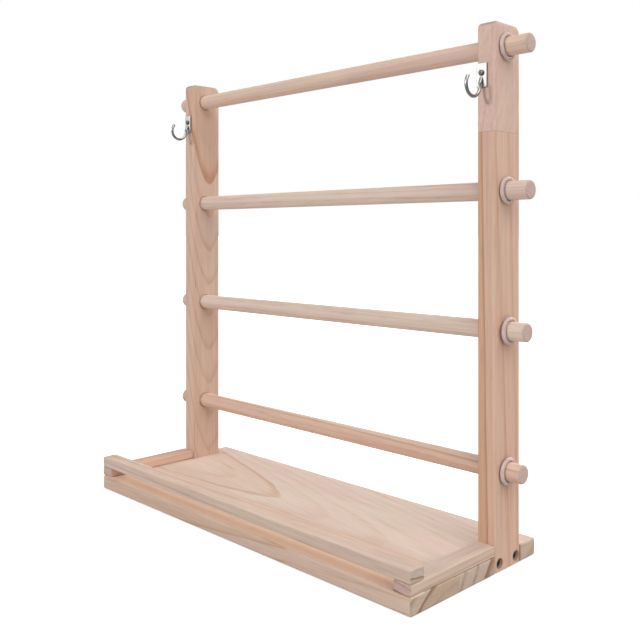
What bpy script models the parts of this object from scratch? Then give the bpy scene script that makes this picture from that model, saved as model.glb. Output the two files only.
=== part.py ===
"""Spool rack: a pine base with a low tray rail and a thread slot, two posts let into the base's
ends, four turning rods held by rubber rings, and two screwed-on hooks for hanging tools.

Frame: +X to the right along the rods, -Y the front, +Z up. The origin is the centre of the base's
underside, which is the face that the rack stands on. All sizes are in metres.
"""

import math

import bmesh
import bpy
from mathutils import Matrix, Vector

# ---- driving dimensions -------------------------------------------------------------------------

BASE_WIDTH = 0.436
BASE_DEPTH = 0.172
BASE_THICKNESS = 0.015

STRIP_WIDTH = 0.017          # side strips, across the rack
STRIP_HEIGHT = 0.009         # also the height of the thread slot under the front strip
FRONT_STRIP_DEPTH = 0.016
FRONT_STRIP_HEIGHT = 0.0105

POST_THICKNESS = 0.018
POST_DEPTH = 0.038
RACK_HEIGHT = 0.458          # surface to the top of the posts
POST_SETBACK = 0.1095        # base's front edge to the posts' front face
POST_FOOT_LIFT = 0.001       # posts stop short of the surface
POST_TOP_FRONT_RADIUS = 0.0045
POST_TOP_REAR_RADIUS = 0.0065
NOTCH_REAR_GAP = 0.001       # open line behind each post

ROD_DIAMETER = 0.016
ROD_END_RADIUS = 0.0018
ROD_BEHIND_POST_FRONT = 0.0165
LOWEST_ROD_ABOVE_BASE = 0.0675
ROD_PITCH = 0.1175           # between the three lower rods
TOP_ROD_BELOW_POST_TOP = 0.020
ROD_LEFT_REACH = (0.0185, 0.0185, 0.0185, 0.021)     # past the left post, lowest rod first
ROD_RIGHT_REACH = (0.017, 0.021, 0.024, 0.024)       # past the right post, lowest rod first

RING_SECTION = 0.0034
RING_STANDOFF_LEFT = (0.0, 0.0, 0.0, 0.0)            # free space between ring and post
RING_STANDOFF_RIGHT = (0.0004, 0.0018, 0.0002, 0.0)

HOOK_PLATE_WIDTH = 0.0102
HOOK_PLATE_HEIGHT = 0.0205
HOOK_PLATE_THICKNESS = 0.0014
HOOK_WIRE_DIAMETER = 0.0028
HOOK_BEND_RADIUS = 0.0096    # to the wire's centre line
HOOK_BEND_FORWARD = 0.0121   # plate's front to the bend's centre
HOOK_BEND_BELOW = 0.0093     # plate's middle down to the bend's centre
# where the arm lies on the plate: forward of the plate, above the bend's centre, share of radius
HOOK_ROOT = ((0.0005, 0.0075, 0.55), (0.0009, 0.0060, 1.0), (0.0016, 0.0038, 1.0))
HOOK_SCREW_ABOVE = 0.0020    # plate's middle up to its screw
HOOK_DROP = {"left": 0.0465, "right": 0.0445}        # post's top to the plate's middle
HOOK_ASIDE = {"left": -0.0013, "right": -0.0033}     # plate's middle from the post's middle

FOOT_SCREW_MARGIN = 0.0068   # screw's centre to the post's front or rear face
FOOT_SCREW_HEAD_DIAMETER = 0.0080
FOOT_SCREW_HEAD_HEIGHT = 0.0026
FOOT_SCREW_SHANK_DIAMETER = 0.0040
FOOT_SCREW_BITE = 0.028      # length that goes into the base
FOOT_SCREW_SINK = 0.0014     # head's face below the post's outer face
HOOK_SCREW_HEAD_DIAMETER = 0.0050
HOOK_SCREW_HEAD_HEIGHT = 0.0013
HOOK_SCREW_SHANK_DIAMETER = 0.0024
HOOK_SCREW_BITE = 0.0095     # length that goes into the post
SCREW_DOME_SHARE = 0.35      # of the head's height
SCREW_CROWN = (0.6, 0.35)    # share of the head's radius, share of the dome left out there
SCREW_TIP_LENGTH = 2.5       # in shank radii
RECESS_REACH = 1.1           # cross recess, in head radii
RECESS_WIDTH = 0.3           # in head radii
RECESS_DEPTH = 0.6           # of the head's height

BASE_EASE = 0.0020           # rounding of the boards' edges
POST_EASE = 0.0026
STRIP_EASE = 0.0009
HOOK_PLATE_EASE = 0.0004

# ---- clearances ---------------------------------------------------------------------------------

TOUCH_GAP = 0.0003           # between pieces that rest on each other
ROD_RUNNING_GAP = 0.0005     # rod to the wall of its hole
RING_FIT_GAP = 0.0003        # ring to rod
SCREW_HOLE_GAP = 0.0003      # shank to the wall of its hole
COUNTERBORE_GAP = 0.0006     # head to the wall of its counterbore

# ---- derived places -----------------------------------------------------------------------------

POST_FRONT = -BASE_DEPTH / 2 + POST_SETBACK
POST_REAR = POST_FRONT + POST_DEPTH
POST_MIDDLE_X = (BASE_WIDTH - POST_THICKNESS) / 2
BASE_END = BASE_WIDTH / 2
NOTCH_DEPTH = POST_THICKNESS + TOUCH_GAP
ROD_RADIUS = ROD_DIAMETER / 2
ROD_HOLE_RADIUS = ROD_RADIUS + ROD_RUNNING_GAP
ROD_Y = POST_FRONT + ROD_BEHIND_POST_FRONT
LOWEST_ROD_Z = BASE_THICKNESS + LOWEST_ROD_ABOVE_BASE
ROD_HEIGHTS = [LOWEST_ROD_Z + i * ROD_PITCH for i in range(3)]
ROD_HEIGHTS.append(RACK_HEIGHT - TOP_ROD_BELOW_POST_TOP)
STRIP_TOP = BASE_THICKNESS + STRIP_HEIGHT
FOOT_SCREW_Z = BASE_THICKNESS / 2
SIDES = {"left": -1, "right": 1}

ROUND_STEPS = 32
SMALL_STEPS = 20
EDGE_STEPS = 3
CORNER_STEPS = 5
RING_STEPS = 24
RING_SECTION_STEPS = 8
CUT_OVERRUN = 0.002          # how far a cutter passes the faces it opens

WOOD = (0.78, 0.58, 0.44)


# ---- scene helpers ------------------------------------------------------------------------------

def clear_scene():
    for obj in list(bpy.data.objects):
        bpy.data.objects.remove(obj, do_unlink=True)


def make_collection(name):
    collection = bpy.data.collections.new(name)
    bpy.context.scene.collection.children.link(collection)
    return collection


def make_material(name, colour, roughness, metallic=0.0):
    material = bpy.data.materials.new(name)
    material.use_nodes = True
    shader = material.node_tree.nodes["Principled BSDF"]
    shader.inputs["Base Color"].default_value = (*colour, 1.0)
    shader.inputs["Roughness"].default_value = roughness
    shader.inputs["Metallic"].default_value = metallic
    return material


def move_to(obj, collection):
    for other in list(obj.users_collection):
        other.objects.unlink(obj)
    collection.objects.link(obj)


def finish(obj, name, material, collection, parent=None, smooth=False):
    """Names an object as a node, gives it its material and puts it in its collection."""
    obj.name = name
    obj.data.name = name
    obj.data.materials.clear()
    obj.data.materials.append(material)
    if smooth:
        obj.data.shade_smooth()
        obj.data.set_sharp_from_angle(angle=math.radians(35))
    if parent is not None:
        obj.parent = parent
        obj.matrix_parent_inverse = parent.matrix_basis.inverted()
    move_to(obj, collection)
    return obj


def box(size, centre):
    """A box with its own origin at its middle and its scale applied."""
    bpy.ops.mesh.primitive_cube_add(size=1.0, location=centre)
    obj = bpy.context.object
    obj.data.transform(Matrix.Diagonal((*size, 1.0)))
    return obj


def box_between(low, high):
    low, high = Vector(low), Vector(high)
    return box(high - low, (low + high) / 2)


def is_crease(edge):
    return edge.calc_face_angle(0.0) > math.radians(40)


def round_edges(obj, chosen, radius, steps=EDGE_STEPS):
    """Rounds those edges of a board for which chosen(edge) is true."""
    work = bmesh.new()
    work.from_mesh(obj.data)
    edges = [edge for edge in work.edges if chosen(edge)]
    bmesh.ops.bevel(work, geom=edges, offset=radius, offset_type="OFFSET", segments=steps,
                    profile=0.5, affect="EDGES", material=-1)
    work.to_mesh(obj.data)
    work.free()


def cut(obj, cutter, operation="DIFFERENCE"):
    modifier = obj.modifiers.new(operation.lower(), "BOOLEAN")
    modifier.operation = operation
    modifier.solver = "EXACT"
    modifier.object = cutter
    return modifier


def hide_cutter(obj, name, collection):
    obj.name = name
    obj.hide_render = True
    obj.display_type = "WIRE"
    move_to(obj, collection)
    return obj


def turned(profile, steps, place):
    """A turned piece. The profile's points are (radius, height), top to bottom; place is a matrix
    that takes the turning axis, +Z, to where the piece stands."""
    mesh = bpy.data.meshes.new("turned")
    obj = bpy.data.objects.new("turned", mesh)
    bpy.context.scene.collection.objects.link(obj)
    points = [(radius, 0.0, height) for radius, height in profile]
    mesh.from_pydata(points, [(i, i + 1) for i in range(len(points) - 1)], [])
    screw = obj.modifiers.new("turn", "SCREW")
    screw.axis = "Z"
    screw.steps = steps
    screw.render_steps = steps
    screw.use_merge_vertices = True
    screw.merge_threshold = 1e-6
    screw.use_smooth_shade = True
    obj.matrix_world = place
    return obj


def cylinder_profile(radius, length, end_radius=0.0, segments=3):
    """The outline of a round bar from -length/2 to length/2, with rounded ends if asked for."""
    half = length / 2
    if end_radius == 0.0:
        return [(0.0, half), (radius, half), (radius, -half), (0.0, -half)]
    top = []
    for i in range(segments + 1):
        angle = math.pi / 2 * i / segments
        top.append((radius - end_radius * (1 - math.sin(angle)),
                    half - end_radius * (1 - math.cos(angle))))
    bottom = [(r, -z) for r, z in reversed(top)]
    return [(0.0, half), *top, *bottom, (0.0, -half)]


def facing(direction, place):
    """The matrix that stands a turned piece's +Z along direction, at place."""
    turn = Vector(direction).to_track_quat("Z", "Y").to_matrix().to_4x4()
    return Matrix.Translation(place) @ turn


# ---- cutters ------------------------------------------------------------------------------------

def rod_hole_cutter(index, side, collection):
    x = SIDES[side] * POST_MIDDLE_X
    profile = cylinder_profile(ROD_HOLE_RADIUS, POST_THICKNESS + 2 * CUT_OVERRUN)
    hole = turned(profile, ROUND_STEPS, facing((1, 0, 0), (x, ROD_Y, ROD_HEIGHTS[index])))
    return hide_cutter(hole, f"cut_rod_hole_{side}_{index + 1}", collection)


def foot_screw_places(side):
    """Where the foot screws' heads lie: on the post's outer face, near its front and rear edges."""
    x = SIDES[side] * BASE_END
    return {"front": Vector((x, POST_FRONT + FOOT_SCREW_MARGIN, FOOT_SCREW_Z)),
            "rear": Vector((x, POST_REAR - FOOT_SCREW_MARGIN, FOOT_SCREW_Z))}


def foot_screw_cutter(side, which, collection):
    """Counterbore in the post and one straight hole through post and base end."""
    head = FOOT_SCREW_HEAD_DIAMETER / 2 + COUNTERBORE_GAP
    shank = FOOT_SCREW_SHANK_DIAMETER / 2 + SCREW_HOLE_GAP
    seat = -(FOOT_SCREW_SINK + FOOT_SCREW_HEAD_HEIGHT + TOUCH_GAP)
    end = -(POST_THICKNESS + FOOT_SCREW_BITE + CUT_OVERRUN)
    profile = [(0.0, CUT_OVERRUN), (head, CUT_OVERRUN), (head, seat), (shank, seat),
               (shank, end), (0.0, end)]
    hole = turned(profile, SMALL_STEPS,
                  facing((SIDES[side], 0, 0), foot_screw_places(side)[which]))
    return hide_cutter(hole, f"cut_foot_screw_{side}_{which}", collection)


def hook_plate_middle(side):
    x = SIDES[side] * POST_MIDDLE_X + HOOK_ASIDE[side]
    y = POST_FRONT - TOUCH_GAP - HOOK_PLATE_THICKNESS / 2
    return Vector((x, y, RACK_HEIGHT - HOOK_DROP[side]))


def hook_screw_place(side):
    """The middle of the hook screw's seat, on the plate's front face."""
    middle = hook_plate_middle(side)
    return middle + Vector((0, -HOOK_PLATE_THICKNESS / 2, HOOK_SCREW_ABOVE))


def hook_screw_cutter(side, collection):
    radius = HOOK_SCREW_SHANK_DIAMETER / 2 + SCREW_HOLE_GAP
    length = HOOK_PLATE_THICKNESS + TOUCH_GAP + HOOK_SCREW_BITE + 2 * CUT_OVERRUN
    start = hook_screw_place(side) + Vector((0, length / 2 - CUT_OVERRUN, 0))
    hole = turned(cylinder_profile(radius, length), SMALL_STEPS, facing((0, -1, 0), start))
    return hide_cutter(hole, f"cut_hook_screw_{side}", collection)


# ---- pieces -------------------------------------------------------------------------------------

def base_board(material, parts, cutters, foot_cutters):
    """The flat board, notched at both ends for the posts."""
    base = box_between((-BASE_END, -BASE_DEPTH / 2, 0.0), (BASE_END, BASE_DEPTH / 2, BASE_THICKNESS))
    round_edges(base, is_crease, BASE_EASE)
    for side, sign in SIDES.items():
        inner = sign * (BASE_END - NOTCH_DEPTH)
        outer = sign * (BASE_END + CUT_OVERRUN)
        notch = box_between(
            (min(inner, outer), POST_FRONT - TOUCH_GAP, -CUT_OVERRUN),
            (max(inner, outer), POST_REAR + NOTCH_REAR_GAP, BASE_THICKNESS + CUT_OVERRUN))
        cut(base, hide_cutter(notch, f"cut_notch_{side}", cutters))
    for cutter in foot_cutters:
        cut(base, cutter)
    return finish(base, "base_board", material, parts)


def side_strip(side, material, parts):
    """The low strip along a base end, from the front edge back to the post."""
    outer = SIDES[side] * BASE_END
    inner = SIDES[side] * (BASE_END - STRIP_WIDTH)
    strip = box_between(
        (min(inner, outer), -BASE_DEPTH / 2, BASE_THICKNESS + TOUCH_GAP),
        (max(inner, outer), POST_FRONT - TOUCH_GAP, STRIP_TOP))
    round_edges(strip, is_crease, STRIP_EASE)
    return finish(strip, f"side_strip_{side}", material, parts)


def front_strip(material, parts):
    """The rail across the front. It bridges the side strips, so a slot is left under it."""
    strip = box_between(
        (-BASE_END, -BASE_DEPTH / 2, STRIP_TOP + TOUCH_GAP),
        (BASE_END, -BASE_DEPTH / 2 + FRONT_STRIP_DEPTH, STRIP_TOP + FRONT_STRIP_HEIGHT))
    round_edges(strip, is_crease, STRIP_EASE)
    return finish(strip, "front_strip", material, parts)


def post(side, material, parts, hole_cutters):
    """An upright, let into the base's end, drilled for the rods and the screws. Its foot is cut
    square, and every other edge is rounded."""
    x = SIDES[side] * POST_MIDDLE_X
    upright = box_between(
        (x - POST_THICKNESS / 2, POST_FRONT, POST_FOOT_LIFT),
        (x + POST_THICKNESS / 2, POST_REAR, RACK_HEIGHT))
    foot = min(v.co.z for v in upright.data.vertices)
    top = max(v.co.z for v in upright.data.vertices)

    def at_top(edge, sign):
        near_top = all(top - v.co.z < TOUCH_GAP for v in edge.verts)
        return near_top and all(sign * v.co.y > 0 for v in edge.verts)

    def above_foot(edge):
        return is_crease(edge) and any(v.co.z - foot > TOUCH_GAP for v in edge.verts)

    round_edges(upright, lambda e: at_top(e, -1), POST_TOP_FRONT_RADIUS, CORNER_STEPS)
    round_edges(upright, lambda e: at_top(e, 1), POST_TOP_REAR_RADIUS, CORNER_STEPS)
    round_edges(upright, above_foot, POST_EASE)
    for cutter in hole_cutters:
        cut(upright, cutter)
    return finish(upright, f"post_{side}", material, parts)


def rod_axis(index, parts):
    """An empty on a rod's axis; the rod and its rings hang from it."""
    axis = bpy.data.objects.new(f"axis_{index + 1}", None)
    axis.location = (0.0, ROD_Y, ROD_HEIGHTS[index])
    parts.objects.link(axis)
    return axis


def rod(index, axis, material, parts):
    """A dowel through both posts, free to turn and to be drawn out."""
    left = -BASE_END - ROD_LEFT_REACH[index]
    right = BASE_END + ROD_RIGHT_REACH[index]
    place = facing((1, 0, 0), ((left + right) / 2, ROD_Y, ROD_HEIGHTS[index]))
    dowel = turned(cylinder_profile(ROD_RADIUS, right - left, ROD_END_RADIUS), ROUND_STEPS, place)
    return finish(dowel, f"rod_{index + 1}", material, parts, axis)


def ring(index, side, axis, material, parts):
    """The elastic ring that grips a rod outside a post and stops it sliding out."""
    minor = RING_SECTION / 2
    standoff = (RING_STANDOFF_LEFT if side == "left" else RING_STANDOFF_RIGHT)[index]
    x = SIDES[side] * (BASE_END + TOUCH_GAP + minor + standoff)
    bpy.ops.mesh.primitive_torus_add(
        major_radius=ROD_RADIUS + RING_FIT_GAP + minor, minor_radius=minor,
        major_segments=RING_STEPS, minor_segments=RING_SECTION_STEPS,
        location=(x, ROD_Y, ROD_HEIGHTS[index]), rotation=(0.0, math.pi / 2, 0.0))
    return finish(bpy.context.object, f"ring_{side}_{index + 1}", material, parts, axis, smooth=True)


def hook_centre_line(side):
    """The wire's route: down the plate, round under the bend and up to a rounded tip.
    Each entry is a point and the share of the wire's full radius there."""
    middle = hook_plate_middle(side)
    plate_front = middle.y - HOOK_PLATE_THICKNESS / 2
    bend = Vector((middle.x, plate_front - HOOK_BEND_FORWARD, middle.z - HOOK_BEND_BELOW))
    start, stop, steps = math.radians(168), math.radians(402), 20
    route = []
    for forward, above, share in HOOK_ROOT:
        route.append((Vector((middle.x, plate_front - forward, bend.z + above)), share))
    for i in range(steps + 1):
        angle = start + (stop - start) * i / steps
        around = Vector((0, -math.cos(angle), math.sin(angle))) * HOOK_BEND_RADIUS
        route.append((bend + around, 1.0))
    tip, before = route[-1][0], route[-2][0]
    ahead = (tip - before).normalized() * HOOK_WIRE_DIAMETER / 2
    for share in (0.45, 0.75, 0.93):
        route.append((tip + ahead * share, math.sqrt(1 - share ** 2)))
    return route


def wire(route, radius):
    """A round wire as a closed mesh, made from a curve."""
    curve = bpy.data.curves.new("wire", "CURVE")
    curve.dimensions = "3D"
    curve.bevel_depth = radius
    curve.bevel_resolution = 2
    curve.use_fill_caps = True
    spline = curve.splines.new("POLY")
    spline.points.add(len(route) - 1)
    for point, (place, share) in zip(spline.points, route):
        point.co = (*place, 1.0)
        point.radius = share
    guide = bpy.data.objects.new("wire_guide", curve)
    bpy.context.scene.collection.objects.link(guide)
    bpy.context.view_layer.update()
    evaluated = guide.evaluated_get(bpy.context.evaluated_depsgraph_get())
    mesh = bpy.data.meshes.new_from_object(evaluated)
    work = bmesh.new()
    work.from_mesh(mesh)
    bmesh.ops.remove_doubles(work, verts=work.verts, dist=1e-6)
    bmesh.ops.recalc_face_normals(work, faces=work.faces)
    work.to_mesh(mesh)
    work.free()
    obj = bpy.data.objects.new("wire", mesh)
    obj.matrix_world = guide.matrix_world
    bpy.context.scene.collection.objects.link(obj)
    bpy.data.objects.remove(guide)
    return obj


def hook(side, material, parts, cutters, screw_cutter):
    """A small plate with a round bent arm, one piece."""
    middle = hook_plate_middle(side)
    plate = box((HOOK_PLATE_WIDTH, HOOK_PLATE_THICKNESS, HOOK_PLATE_HEIGHT), middle)
    round_edges(plate, is_crease, HOOK_PLATE_EASE, 2)
    arm = hide_cutter(wire(hook_centre_line(side), HOOK_WIRE_DIAMETER / 2),
                      f"join_hook_arm_{side}", cutters)
    cut(plate, arm, "UNION")
    cut(plate, screw_cutter)
    return finish(plate, f"hook_{side}", material, parts)


def screw_piece(name, head_radius, head_height, shank_radius, length, place, direction, material,
                parts, cutters):
    """A round-headed screw with a cross recess. place is the middle of the head's seat, direction
    points out of the head, and length is what lies beyond the seat."""
    dome = head_height * SCREW_DOME_SHARE
    tip = shank_radius * SCREW_TIP_LENGTH
    crown, fall = SCREW_CROWN
    profile = [(0.0, head_height), (head_radius * crown, head_height - dome * fall),
               (head_radius, head_height - dome), (head_radius, 0.0), (shank_radius, 0.0),
               (shank_radius, tip - length), (0.0, -length)]
    stand = facing(direction, place)
    screw = turned(profile, SMALL_STEPS, stand)
    arm, width = head_radius * RECESS_REACH, head_radius * RECESS_WIDTH
    depth = head_height * RECESS_DEPTH
    for turn, size in (("a", (arm, width)), ("b", (width, arm))):
        slot = box((*size, depth), (0, 0, 0))
        slot.matrix_world = stand @ Matrix.Translation((0, 0, head_height - depth / 2 + TOUCH_GAP))
        cut(screw, hide_cutter(slot, f"cut_recess_{name}_{turn}", cutters))
    return finish(screw, name, material, parts)


def foot_screw(side, which, material, parts, cutters):
    direction = Vector((SIDES[side], 0, 0))
    face = foot_screw_places(side)[which]
    seat = face - direction * (FOOT_SCREW_SINK + FOOT_SCREW_HEAD_HEIGHT)
    length = POST_THICKNESS - FOOT_SCREW_SINK - FOOT_SCREW_HEAD_HEIGHT + FOOT_SCREW_BITE
    screw_piece(f"foot_screw_{side}_{which}", FOOT_SCREW_HEAD_DIAMETER / 2, FOOT_SCREW_HEAD_HEIGHT,
                FOOT_SCREW_SHANK_DIAMETER / 2, length, seat, direction, material, parts, cutters)


def hook_screw(side, material, parts, cutters):
    seat = hook_screw_place(side) + Vector((0, -TOUCH_GAP, 0))
    length = TOUCH_GAP + HOOK_PLATE_THICKNESS + TOUCH_GAP + HOOK_SCREW_BITE
    screw_piece(f"hook_screw_{side}", HOOK_SCREW_HEAD_DIAMETER / 2, HOOK_SCREW_HEAD_HEIGHT,
                HOOK_SCREW_SHANK_DIAMETER / 2, length, seat, (0, -1, 0), material, parts, cutters)


# ---- the whole rack -----------------------------------------------------------------------------

def build():
    clear_scene()
    parts = make_collection("spool_rack")
    cutters = make_collection("cutters")
    base_pine = make_material("base_pine", WOOD, 0.6)
    post_pine = make_material("post_pine", (0.76, 0.56, 0.42), 0.6)
    rod_pine = make_material("rod_pine", (0.80, 0.61, 0.47), 0.55)
    rubber = make_material("ring_rubber", (0.75, 0.68, 0.66), 0.5)
    nickel = make_material("nickel", (0.75, 0.74, 0.72), 0.2, 1.0)
    zinc = make_material("screw_zinc", (0.55, 0.54, 0.52), 0.35, 1.0)

    foot_cutters = {(side, which): foot_screw_cutter(side, which, cutters)
                    for side in SIDES for which in ("front", "rear")}
    hook_cutters = {side: hook_screw_cutter(side, cutters) for side in SIDES}

    base_board(base_pine, parts, cutters, foot_cutters.values())
    front_strip(base_pine, parts)
    for side in SIDES:
        side_strip(side, base_pine, parts)
        holes = [rod_hole_cutter(i, side, cutters) for i in range(len(ROD_HEIGHTS))]
        holes += [foot_cutters[side, "front"], foot_cutters[side, "rear"], hook_cutters[side]]
        post(side, post_pine, parts, holes)
        hook(side, nickel, parts, cutters, hook_cutters[side])
        hook_screw(side, zinc, parts, cutters)
        for which in ("front", "rear"):
            foot_screw(side, which, zinc, parts, cutters)
    for i in range(len(ROD_HEIGHTS)):
        axis = rod_axis(i, parts)
        rod(i, axis, rod_pine, parts)
        for side in SIDES:
            ring(i, side, axis, rubber, parts)


build()
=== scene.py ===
"""Finished look of a pine spool rack: base board with a low tray rail, two drilled posts, four
turning dowels held by rubber rings, and two nickel hooks. Written as an add-on whose panel makes
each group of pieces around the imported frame, which keeps every size, place and joint.

Frame: +X right along the dowels, -Y the front, +Z up, metres.
"""

import math
from collections import namedtuple

import bmesh
import bpy
from bpy.props import FloatProperty, FloatVectorProperty, IntProperty, PointerProperty
from mathutils import Matrix, Vector


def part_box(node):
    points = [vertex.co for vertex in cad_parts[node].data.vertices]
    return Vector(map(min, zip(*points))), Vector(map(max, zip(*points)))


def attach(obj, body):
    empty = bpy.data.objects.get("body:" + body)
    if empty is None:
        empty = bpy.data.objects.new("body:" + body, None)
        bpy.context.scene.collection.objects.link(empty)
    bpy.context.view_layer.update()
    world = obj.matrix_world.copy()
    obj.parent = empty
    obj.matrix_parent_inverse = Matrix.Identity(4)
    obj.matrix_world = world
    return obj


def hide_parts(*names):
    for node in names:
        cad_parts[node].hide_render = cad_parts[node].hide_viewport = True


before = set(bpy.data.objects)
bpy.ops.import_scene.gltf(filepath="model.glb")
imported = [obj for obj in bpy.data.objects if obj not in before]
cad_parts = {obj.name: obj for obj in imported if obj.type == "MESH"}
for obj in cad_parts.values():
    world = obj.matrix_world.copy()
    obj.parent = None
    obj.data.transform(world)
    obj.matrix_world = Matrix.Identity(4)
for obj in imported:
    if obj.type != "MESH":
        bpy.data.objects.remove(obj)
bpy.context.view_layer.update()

bl_info = {
    "name": "Pine Spool Rack",
    "version": (1, 0, 0),
    "blender": (4, 5, 0),
    "location": "3D View > Sidebar > Spool Rack",
    "description": "Makes the finished pieces of a pine spool rack around its packed frame",
    "category": "Add Mesh",
}

SIDES = {"left": -1, "right": 1}
RODS = (1, 2, 3, 4)
CAD_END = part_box("base_board")[1].x
NEAR = 1e-5                      # points closer than this lie on the same plane
SHORT_EDGE = 0.003               # edges round a drilled hole are shorter
BEYOND_POINT = 0.002             # how far a screw's hole runs past its point
CLEAR = 0.01                     # how far a cutting shape stands out of what it cuts
TOUCH = 0.0003                   # between pieces that rest on each other
NOTCH_GAPS = (0.0003, 0.0010)    # front and rear of each post
FOOT_HEAD, FOOT_SHANK = 0.0026, 0.0020       # head height and shank radius of the foot screws
HOOK_HEAD, HOOK_SHANK = 0.0013, 0.0012       # and of the hook screws
SHANK_GAP, HEAD_GAP, ROD_GAP = 0.0003, 0.0006, 0.0005
HOOK_PLATE_HEIGHT = 0.0205
HOOK_CORNER, HOOK_RIM = 0.0008, 0.0004       # rounding of the plate's outline and of its face
HOOK_FORWARD = 0.0121                        # plate's face to the bend's middle
HOOK_START, HOOK_STOP = math.radians(168), math.radians(402)
HOOK_STEPS = 40
# where the arm leaves the plate: forward of its face, above the bend's middle, share of thickness
HOOK_ROOT = ((0.0006, 0.0078, 0.60), (0.0008, 0.0068, 0.88), (0.0010, 0.0055, 1.0),
             (0.0016, 0.0038, 1.0))
TIP_SHARES = (0.3, 0.55, 0.75, 0.9, 0.98)
# shares of a screw's head or shank: dome, crown, upright rim, its foot, point length, point width
DOME, CROWN, RIM, RIM_FOOT, POINT_LENGTH, POINT_WIDTH = 0.45, 0.97, 0.06, 0.08, 2.5, 0.15
RECESS_REACH, RECESS_WIDTH, RECESS_DEPTH, RECESS_TAPER = 1.15, 0.30, 0.62, 0.55
POST_TOPS = ((-1, 0.0045, 10), (1, 0.0065, 12))   # front and rear: side, rounding and steps
ZINC_ROUGHNESS, ZINC_MARKS, NICKEL_MARKS = 0.34, 0.15, 0.08
PINE_BUMP, PINE_BUMP_DEPTH = 0.35, 0.0003
GLUE_LINE = -0.027               # front stave to rear stave of the base
POST_JOINT = 0.3665              # height of the right post's joint

# A piece of timber: the way its grain runs, a point on its pith, how far its rings drift along the
# grain, their spacing, how much they wander, their phase, the number of the one ring that stands
# out, a seed, the strength of its rings and its tint.
Stock = namedtuple("Stock", "grain pith taper spacing wander phase feature seed contrast tint")

RESIN = (0.30, 0.17, 0.11, 1.0)
GLUE = (0.30, 0.17, 0.10, 1.0)
# Painted bounce light: a lighter, warmer colour laid on the base top under the front strip.
PAINTED_BOUNCE_LIGHT = (0.93, 0.69, 0.53, 1.0)

# Tints that multiply a timber's colours.
PALE = (1.0, 1.0, 1.0)
WARM = (1.0, 0.87, 0.80)
FACE = (1.03, 0.96, 0.90)
BROWN = (1.0, 0.83, 0.73)
HONEY = (1.05, 0.90, 0.81)
PINK = (1.04, 0.93, 0.90)
TAN = (1.04, 0.94, 0.89)
ROSE = (1.04, 1.03, 1.02)
LILAC = (1.07, 0.98, 1.02)
SAWN = (1.04, 1.00, 0.95)
DIM = (0.86, 0.77, 0.74)

STOCKS = {
    "base_rear": Stock((1, -0.12, 0), (0, -0.005, -0.045), 0.09, 0.0075, 0.003,
                       0.30, 7, 3.0, 0.72, PALE),
    "base_front": Stock((1, -0.02, 0.015), (0, -0.160, 0.055), 0.02, 0.0060, 0.005,
                        0.10, 14, 7.0, 0.70, FACE),
    "front_strip": Stock((1, 0.01, -0.03), (0, -0.110, 0.080), 0.02, 0.0052, 0.003,
                         0.60, 11, 15.0, 0.70, PALE),
    "side_strip_left": Stock((0, 1, 0.01), (-0.260, 0, 0.060), 0.02, 0.0060, 0.003,
                             0.10, 9, 19.0, 0.60, HONEY),
    "side_strip_right": Stock((0, 1, 0.012), (0.190, 0, 0.090), 0.0, 0.0040, 0.0003,
                              0.45, 19, 23.0, 1.1, PALE),
    "post_left": Stock((0, 0, 1), (-0.178, 0.0463, 0), -0.20, 0.0080, 0.001,
                       0.75, -6, 29.0, 1.2, WARM),
    "post_right_low": Stock((0, 0, 1), (0.125, 0.008, 0), 0.017, 0.0062, 0.001,
                            0.77, 14, 31.0, 1.3, BROWN),
    "post_right_top": Stock((0.10, 0.28, 1), (0.150, 0.010, 0.4), 0.02, 0.0090, 0.003,
                            0.10, 9, 37.0, 0.60, PINK),
}
# The sawn ends show the rings square on, so their pith and spacing are given apart.
ENDS = {
    "base_rear": Stock((1, 0, 0), (0, 0.120, -0.070), 0.0, 0.0150, 0.002,
                       0.10, 8, 11.0, 1.7, SAWN),
    "base_front": Stock((1, 0, 0), (0, -0.030, -0.045), 0.0, 0.0120, 0.002,
                        0.35, 5, 13.0, 2.0, SAWN),
    "front_strip": Stock((1, 0, 0), (0, -0.100, -0.120), 0.0, 0.0062, 0.001,
                         0.81, 24, 17.0, 1.5, ROSE),
    "side_strip_left": Stock((0, 1, 0), (-0.240, 0, -0.090), 0.0, 0.0080, 0.001,
                             0.20, 13, 19.0, 0.45, LILAC),
    "side_strip_right": Stock((0, 1, 0), (0.190, 0, -0.090), 0.0, 0.0065, 0.0003,
                              0.40, 16, 23.0, 1.5, LILAC),
    "post_left": Stock((0, 0, 1), (-0.228, 0.041, 0), 0.0, 0.0080, 0.002,
                       0.30, 2, 29.0, 0.55, DIM),
    "post_right_low": Stock((0, 0, 1), (0.125, 0.008, 0), 0.0, 0.0062, 0.002,
                            0.15, 14, 31.0, 0.60, ROSE),
    "post_right_top": Stock((0, 0, 1), (0.250, 0.120, 0), 0.0, 0.0080, 0.002,
                            0.10, 9, 37.0, 0.55, DIM),
}

ROD_TINTS = {1: TAN, 2: ROSE, 3: ROSE, 4: TAN}
for number in RODS:
    rod_low, rod_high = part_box(f"rod_{number}")
    rod_middle = (rod_low + rod_high) / 2
    rod_pith = (0, rod_middle.y + 0.030 * (-1) ** number, rod_middle.z - 0.020 * number)
    STOCKS[f"rod_{number}"] = Stock((1, 0, 0.004 * (number - 2)), rod_pith, 0.01, 0.0055, 0.003,
                                    0.2 * number, 6, 40.0 + 3 * number, 0.85, ROD_TINTS[number])
    ENDS[f"rod_{number}"] = Stock((1, 0, 0), rod_pith, 0.0, 0.0045, 0.001, 0.2 * number, 9,
                                  50.0 + number, 0.40, LILAC)


# ---- settings ------------------------------------------------------------------------------------

def colour_setting(name, description, default):
    return FloatVectorProperty(name=name, description=description, subtype="COLOR", size=3,
                               min=0.0, max=1.0, default=default)


def length_setting(name, description, default):
    return FloatProperty(name=name, description=description, default=default, min=0.0,
                         unit="LENGTH", precision=5)


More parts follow.
